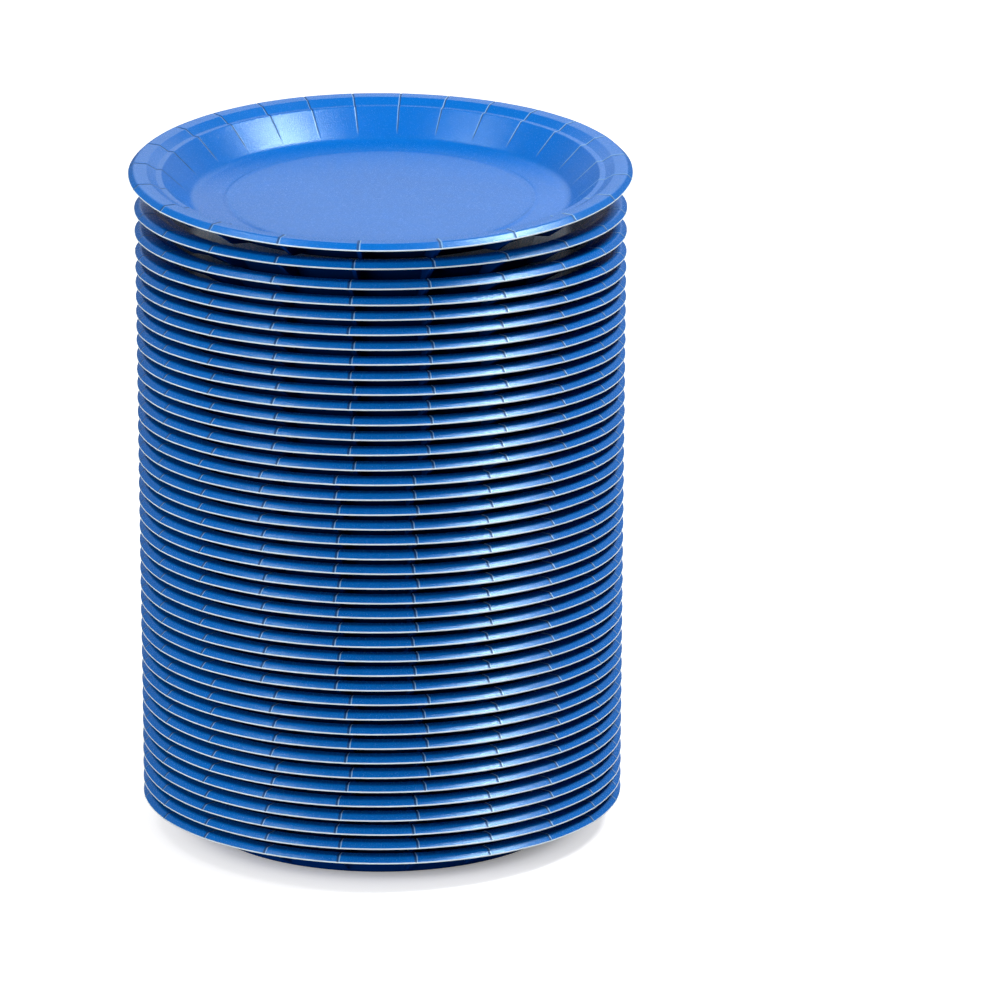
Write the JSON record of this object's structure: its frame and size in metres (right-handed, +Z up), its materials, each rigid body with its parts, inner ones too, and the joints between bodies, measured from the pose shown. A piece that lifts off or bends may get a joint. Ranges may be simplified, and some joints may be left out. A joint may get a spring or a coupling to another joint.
{
  "type": "stack of paper plates",
  "caption": "Tall stack of nested round paper plates with stepped rims, turned-down lips and pressed radial folds, the uppermost plates lying loose and tipped forward.",
  "frame": {"origin": "centre of the flat face that the lowest plate rests on", "axes": "+Z up along the stack, -Y towards the front, where the loose plates at the top lie lowest"},
  "size_m": [0.1796, 0.1794, 0.2535],
  "materials": {
    "blue_board": "satin, blue on both faces with a pale cut edge"
  },
  "bodies": {
    "root": {"plate_01": "blue_board", "plate_02": "blue_board", "plate_03": "blue_board", "plate_04": "blue_board", "plate_05": "blue_board", "plate_06": "blue_board", "plate_07": "blue_board", "plate_08": "blue_board", "plate_09": "blue_board", "plate_10": "blue_board", "plate_11": "blue_board", "plate_12": "blue_board", "plate_13": "blue_board", "plate_14": "blue_board", "plate_15": "blue_board", "plate_16": "blue_board", "plate_17": "blue_board", "plate_18": "blue_board", "plate_19": "blue_board", "plate_20": "blue_board", "plate_21": "blue_board", "plate_22": "blue_board", "plate_23": "blue_board", "plate_24": "blue_board", "plate_25": "blue_board", "plate_26": "blue_board", "plate_27": "blue_board", "plate_28": "blue_board", "plate_29": "blue_board", "plate_30": "blue_board", "plate_31": "blue_board", "plate_32": "blue_board", "plate_33": "blue_board", "plate_34": "blue_board", "plate_35": "blue_board", "plate_36": "blue_board", "plate_37": "blue_board", "plate_38": "blue_board", "plate_39": "blue_board", "plate_40": "blue_board", "plate_41": "blue_board", "plate_42": "blue_board"}
  },
  "joints": []
}
